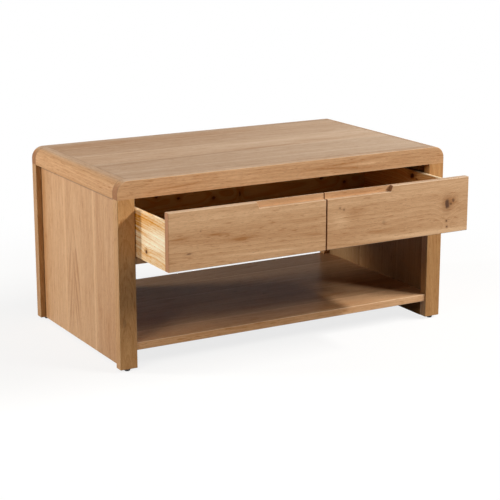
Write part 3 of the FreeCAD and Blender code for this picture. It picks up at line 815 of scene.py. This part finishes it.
class COFFEE_OT_drawer_box(Operator):
    """Finish the drawer box in knotty pine"""
    bl_idname = "coffee_table.drawer_box"
    bl_label = "Drawer box"

    def execute(self, context):
        pine = settings().pine
        back_knots = (
            (-0.245, 0.376, 0.007, 0.006, 0.9), (-0.177, 0.363, 0.007, 0.005, 0.9),
            (-0.067, 0.353, 0.008, 0.006, 0.9), (0.017, 0.356, 0.004, 0.009, 0.9),
            (0.288, 0.374, 0.008, 0.006, 0.9), (0.368, 0.354, 0.006, 0.006, 0.9),
        )
        # The drawer back is tinted darker, as painted shade inside the drawer; so are the muntin and the
        # bottoms.
        board("drawer_back", pine, "XZY", 81.0, heart=0.36, pith=-0.07, knots=back_knots, tint=INNER_SHADE, calm=0.4)
        board("drawer_inner_front", pine, "XZY", 82.0, heart=0.37, pith=0.39)

        left_knots = ((-0.248, 0.326, 0.007, 0.006, 1.0),)
        # Grain of the left drawer side; the streaks that reach back toward the leg also darken the side where
        # the leg's shadow falls on it, as painted shade.
        left_figures = (
            (-0.195, 0.404, 0.130, 0.012, -0.02, 0.95), (-0.295, 0.358, 0.110, 0.034, 0.03, -0.75),
            (-0.280, 0.313, THROUGH, 0.014, 0.03, 0.35), (-0.190, 0.3855, 0.085, 0.0050, 0.03, 1.0),
            (-0.225, 0.3690, 0.110, 0.0045, 0.12, 0.8), (-0.320, 0.337, 0.060, 0.0080, -0.10, 0.6),
            (-0.120, 0.393, 0.120, 0.0080, 0.03, 0.5), (-0.140, 0.377, 0.110, 0.0055, 0.06, 0.6),
            (-0.150, 0.358, 0.100, 0.0070, 0.05, 0.75), (-0.140, 0.339, 0.110, 0.0080, 0.04, 0.75),
            (-0.150, 0.318, 0.100, 0.0080, 0.03, 0.4),
        )
        board("drawer_side_left", pine, "YZX", 83.0, heart=0.10, pith=0.421, slope=-0.29, knots=left_knots,
              figures=left_figures, calm=0.8, rings=0.6)

        right_knots = ((-0.130, 0.407, 0.011, 0.010, 1.0), (-0.152, 0.401, 0.008, 0.003, 0.7))
        # Its inner face is tinted darker orange, as painted shade inside the drawer.
        board("drawer_side_right", pine, "YZX", 84.0, heart=0.29, pith=-0.42, knots=right_knots, calm=0.6,
              faded=TAWNY_SHADE, toward=LEFT)

        board("drawer_muntin", pine, "YXZ", 85.0, pith=-0.25, tint=INNER_SHADE)
        for seed, node in enumerate(("drawer_bottom_left", "drawer_bottom_right")):
            board(node, pine, "XYZ", 86.0 + seed, heart=-0.1, pith=-0.24, slope=0.02, tint=INNER_SHADE, calm=0.5)
        return {"FINISHED"}


class COFFEE_OT_inner_work(Operator):
    """Finish the runners, kickers and stops in pine and the back panel in oak"""
    bl_idname = "coffee_table.inner_work"
    bl_label = "Inner woodwork"

    def execute(self, context):
        pine = settings().pine
        # The runners and the stops are tinted darker, as painted shade inside the table.
        for seed, node in enumerate(("left_runner", "right_runner", "centre_runner")):
            board(node, pine, "YXZ", 91.0 + seed, pith=-0.25, tint=INNER_SHADE)
        # The kickers are tinted near black, as painted shade.
        for seed, node in enumerate(("left_kicker", "right_kicker")):
            board(node, pine, "YXZ", 94.0 + seed, pith=-0.25, tint=DEEP_SHADE)
        for seed, node in enumerate(("left_drawer_stop", "right_drawer_stop")):
            board(node, pine, "XYZ", 97.0 + seed, pith=-0.2, tint=INNER_SHADE)
        board("back_panel", settings().oak, "XZY", 99.0, pith=-0.3, slope=0.03)
        return {"FINISHED"}


class COFFEE_OT_glides(Operator):
    """Finish the foot glides in scuffed black plastic"""
    bl_idname = "coffee_table.glides"
    bl_label = "Foot glides"

    def execute(self, context):
        finish = settings().glide
        material, graph, shader = new_material("glide_plastic")
        place = graph.node("ShaderNodeTexCoord").outputs["Object"]
        stretched = graph.vector("MULTIPLY", place, SCUFFS)
        scuff = graph.noise(stretched, detail=4.0, roughness=0.65).outputs["Fac"]
        worn = graph.ease(scuff, *SCUFF_STEP)
        paint = graph.mix(worn, opaque(finish.body), opaque(finish.worn))
        rough = graph.math("MULTIPLY_ADD", worn, SCUFF_ROUGHNESS, finish.roughness)
        relief = graph.node("ShaderNodeBump", Strength=SCUFF_BUMP, Distance=SCUFF_RELIEF, Height=scuff)
        graph.feed(shader.inputs["Base Color"], paint)
        graph.feed(shader.inputs["Roughness"], rough)
        graph.feed(shader.inputs["Normal"], relief.outputs["Normal"])
        for node in ("front_left_glide", "front_right_glide", "rear_left_glide", "rear_right_glide"):
            dress(node, material)
        return {"FINISHED"}


def aimed(thing, place, target):
    """Put a lamp or camera at a place and turn it to a target."""
    thing.location = place
    thing.rotation_mode = "QUATERNION"
    thing.rotation_quaternion = (Vector(target) - Vector(place)).to_track_quat("-Z", "Y")


def soft_box(name, place, target, width, height, watts, tone):
    """Rectangular lamp aimed at a point."""
    lamp = bpy.data.lights.new(name, "AREA")
    lamp.shape = "RECTANGLE"
    lamp.size = width
    lamp.size_y = height
    lamp.energy = watts
    lamp.color = tone
    box = bpy.data.objects.new(name, lamp)
    bpy.context.scene.collection.objects.link(box)
    aimed(box, place, target)


def seen_plainly(graph):
    """One for what the camera sees straight, mirrored or through glass, and nothing for other rays."""
    path = graph.node("ShaderNodeLightPath").outputs
    mirrored = graph.math("MAXIMUM", path["Is Glossy Ray"], path["Is Transmission Ray"])
    return graph.math("MAXIMUM", path["Is Camera Ray"], mirrored)


def floor_mesh(reach):
    """Flat square grid from minus reach to reach, level with the glides' undersides."""
    steps = np.linspace(-reach, reach, 3)
    grid_x, grid_y = np.meshgrid(steps, steps)
    points = np.stack([grid_x, grid_y, np.zeros_like(grid_x)], -1).reshape(-1, 3)
    row, column = np.meshgrid(np.arange(2), np.arange(2), indexing="ij")
    first = (row * 3 + column).ravel()
    faces = np.stack([first, first + 1, first + 4, first + 3], -1)
    mesh = bpy.data.meshes.new("studio_floor")
    mesh.from_pydata(points.tolist(), [], faces.tolist())
    return mesh


class COFFEE_OT_studio(Operator):
    """Make the pale floor, the soft lights and the camera"""
    bl_idname = "coffee_table.studio"
    bl_label = "Studio"

    def execute(self, context):
        studio = settings().studio
        scene = context.scene
        scene.view_settings.view_transform = "Standard"

        floor = bpy.data.objects.new("studio_floor", floor_mesh(FLOOR_REACH))
        scene.collection.objects.link(floor)
        material, graph, shader = new_material("studio_floor")
        shader.inputs["Roughness"].default_value = FLOOR_ROUGHNESS
        shader.inputs["Specular IOR Level"].default_value = 0.0
        white = graph.node("ShaderNodeEmission", Color=opaque(WHITE), Strength=1.0)
        seen = seen_plainly(graph)
        place = graph.node("ShaderNodeTexCoord").outputs["Object"]
        far = graph.ease(graph.vector("LENGTH", place), 0.5 * studio.shadow_reach, studio.shadow_reach)
        plain = graph.math("MULTIPLY_ADD", far, studio.shadow, 1.0 - studio.shadow)
        factor = graph.math("MULTIPLY", seen, plain)
        graph.feed(shader.inputs["Base Color"], graph.mix(seen, opaque(studio.bounce), opaque(studio.floor)))
        blend = graph.node("ShaderNodeMixShader")
        graph.feed(blend.inputs[0], factor)
        graph.feed(blend.inputs[1], shader.outputs["BSDF"])
        graph.feed(blend.inputs[2], white.outputs["Emission"])
        output = material.node_tree.nodes["Material Output"]
        graph.feed(output.inputs["Surface"], blend.outputs["Shader"])
        floor.data.materials.append(material)

        world = bpy.data.worlds.new("studio_world")
        world.use_nodes = True
        scene.world = world
        graph = Graph(world.node_tree)
        backdrop = world.node_tree.nodes["Background"]
        backdrop.inputs["Color"].default_value = opaque(WHITE)
        graph.feed(backdrop.inputs["Strength"], graph.math("MAXIMUM", seen_plainly(graph), studio.ambient))

        for name, (place, target, width, height, tone) in LAMPS.items():
            soft_box(name + "_light", place, target, width, height, getattr(studio, name + "_power"), tone)

        lens = bpy.data.cameras.new("studio_camera")
        lens.lens = studio.lens
        lens.sensor_width = SENSOR_WIDTH
        camera = bpy.data.objects.new("studio_camera", lens)
        scene.collection.objects.link(camera)
        turn, lift = studio.azimuth, studio.elevation
        back = Vector((-math.sin(turn) * math.cos(lift), -math.cos(turn) * math.cos(lift), math.sin(lift)))
        aim = Vector(studio.aim)
        aimed(camera, aim + back * studio.distance, aim)
        scene.camera = camera
        return {"FINISHED"}


OPERATORS = (COFFEE_OT_frame, COFFEE_OT_panels, COFFEE_OT_drawer_fronts, COFFEE_OT_drawer_box,
             COFFEE_OT_inner_work, COFFEE_OT_glides, COFFEE_OT_studio)


class COFFEE_PT_sidebar(Panel):
    """Buttons and settings of the coffee table"""
    bl_idname = "COFFEE_PT_sidebar"
    bl_label = "Coffee table"
    bl_space_type = "VIEW_3D"
    bl_region_type = "UI"
    bl_category = "Coffee table"

    def draw(self, context):
        for operator in OPERATORS:
            self.layout.operator(operator.bl_idname)
        looks = context.scene.coffee_table
        for part in (looks.oak, looks.pine, looks.glide, looks.studio):
            box = self.layout.box()
            for name in part.__annotations__:
                box.prop(part, name)


CLASSES = (OakFinish, PineFinish, GlideFinish, StudioSettings, CoffeeTableLooks,
           *OPERATORS, COFFEE_PT_sidebar)


def register():
    """Add the classes, and the settings to the scene."""
    for item in CLASSES:
        bpy.utils.register_class(item)
    bpy.types.Scene.coffee_table = PointerProperty(type=CoffeeTableLooks)


def unregister():
    """Take the settings and the classes away again."""
    del bpy.types.Scene.coffee_table
    for item in reversed(CLASSES):
        bpy.utils.unregister_class(item)


def main():
    """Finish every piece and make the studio."""
    register()
    bpy.ops.coffee_table.frame()
    bpy.ops.coffee_table.panels()
    bpy.ops.coffee_table.drawer_fronts()
    bpy.ops.coffee_table.drawer_box()
    bpy.ops.coffee_table.inner_work()
    bpy.ops.coffee_table.glides()
    bpy.ops.coffee_table.studio()


if __name__ == "__main__":
    main()
